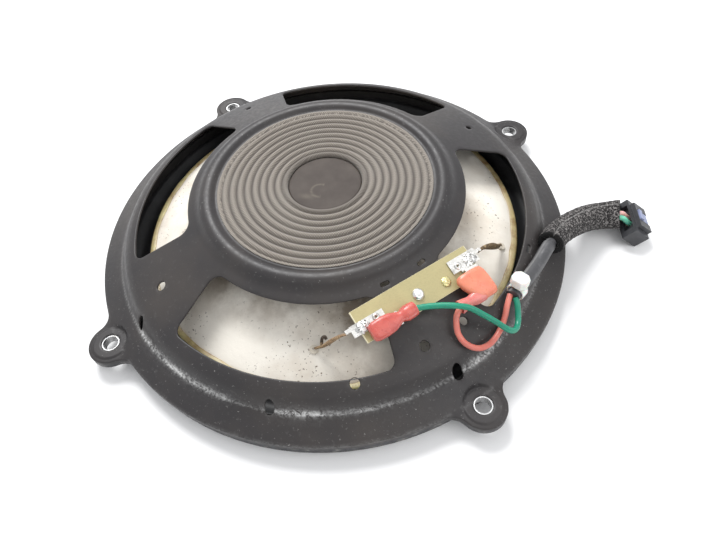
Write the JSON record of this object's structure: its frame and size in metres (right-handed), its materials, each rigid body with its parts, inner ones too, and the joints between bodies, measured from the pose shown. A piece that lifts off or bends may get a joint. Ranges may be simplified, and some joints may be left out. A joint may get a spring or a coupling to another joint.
{
  "type": "car door woofer",
  "caption": "Shallow car door woofer with pressed steel basket, cloth spider, paper cone, front motor, terminal board and a foam-wrapped pigtail with connector.",
  "frame": {"origin": "on the speaker's axis, on the surface that its front gasket rests on", "axes": "+Z along the speaker's axis towards its back; the mounting ears are at 45 degrees to +X and +Y, and the terminal spoke is between +X and -Y"},
  "size_m": [0.2947, 0.25, 0.0478],
  "materials": {
    "basket_paint": "satin, scuffed",
    "bridge_paint": "satin",
    "bright_steel": "worn zinc",
    "gasket_rubber": "matt",
    "spacer_card": "matt",
    "surround_rubber": "matt",
    "cone_paper": "matt, stained",
    "cone_glue": "dried adhesive",
    "spider_cloth": "woven, varnished",
    "former_paper": "matt",
    "coil_copper": "enamelled copper",
    "cap_paper": "smooth, doped",
    "motor_steel": "zinc plated",
    "magnet_metal": "plated",
    "board_phenolic": "fibrous laminate",
    "rivet_metal": "bright",
    "eyelet_brass": "dull",
    "lug_tin": "tinned",
    "solder_metal": "dull bright",
    "tinsel_braid": "braided",
    "terminal_brass": "tinned",
    "sleeve_red": "soft vinyl",
    "cover_salmon": "soft vinyl",
    "wire_green": "vinyl",
    "wire_red": "vinyl",
    "tie_nylon": "nylon",
    "tape_cloth": "vinyl tape",
    "foam_sleeve": "open foam",
    "wire_pink": "vinyl",
    "wire_mint": "vinyl",
    "connector_black": "moulded",
    "latch_plastic": "moulded",
    "lock_plastic": "moulded"
  },
  "bodies": {
    "speaker": {"basket": "basket_paint", "ear_bushings": "bright_steel", "front_bridge": "bridge_paint", "front_gasket": "gasket_rubber", "rim_spacer": "spacer_card", "surround": "surround_rubber", "spider": "spider_cloth", "yoke_cup": "motor_steel", "magnet": "magnet_metal", "pole_plate": "motor_steel", "motor_screw": "bright_steel", "terminal_board": "board_phenolic", "board_rivet": "rivet_metal", "lug_rivets": "eyelet_brass", "lug_left": "lug_tin", "lug_right": "lug_tin", "solder_joints": "solder_metal", "tinsel_lead_left": "tinsel_braid", "tinsel_lead_right": "tinsel_braid", "receptacle_left": "terminal_brass", "insulator_left": "sleeve_red", "receptacle_right": "terminal_brass", "insulator_right": "cover_salmon", "green_wire": "wire_green", "red_wire": "wire_red", "tie_strap": "tie_nylon", "tie_head": "tie_nylon", "tape_sleeve": "tape_cloth", "foam_wrap": "foam_sleeve", "pigtail_wire_red": "wire_pink", "pigtail_wire_green": "wire_mint", "connector_housing": "connector_black", "connector_contacts": "terminal_brass"},
    "diaphragm": {"cone": "cone_paper", "edge_glue": "cone_glue", "coil_former": "former_paper", "voice_coil": "coil_copper", "neck_cap": "cap_paper", "lead_eyelets": "eyelet_brass"},
    "latch": {"connector_latch": "latch_plastic"},
    "lock": {"connector_lock": "lock_plastic"}
  },
  "joints": [
    {"name": "diaphragm_travel", "type": "slide", "parent": "speaker", "child": "diaphragm", "axis": [0, 0, 1], "range_m": [-0.005, 0.005], "stiffness_N_per_m": 1600, "deforming": ["spider", "surround", "tinsel_lead_left", "tinsel_lead_right"]},
    {"name": "latch_press", "type": "hinge", "parent": "speaker", "child": "latch", "pos_m": [0.16722, 0.03151, 0.0084], "axis": [0.1736, -0.9848, 0], "range_deg": [0, 4], "stiffness_Nm_per_rad": 0.3},
    {"name": "lock_slide", "type": "slide", "parent": "speaker", "child": "lock", "axis": [-0.1736, 0.9848, 0], "range_m": [0, 0.0012]}
  ]
}
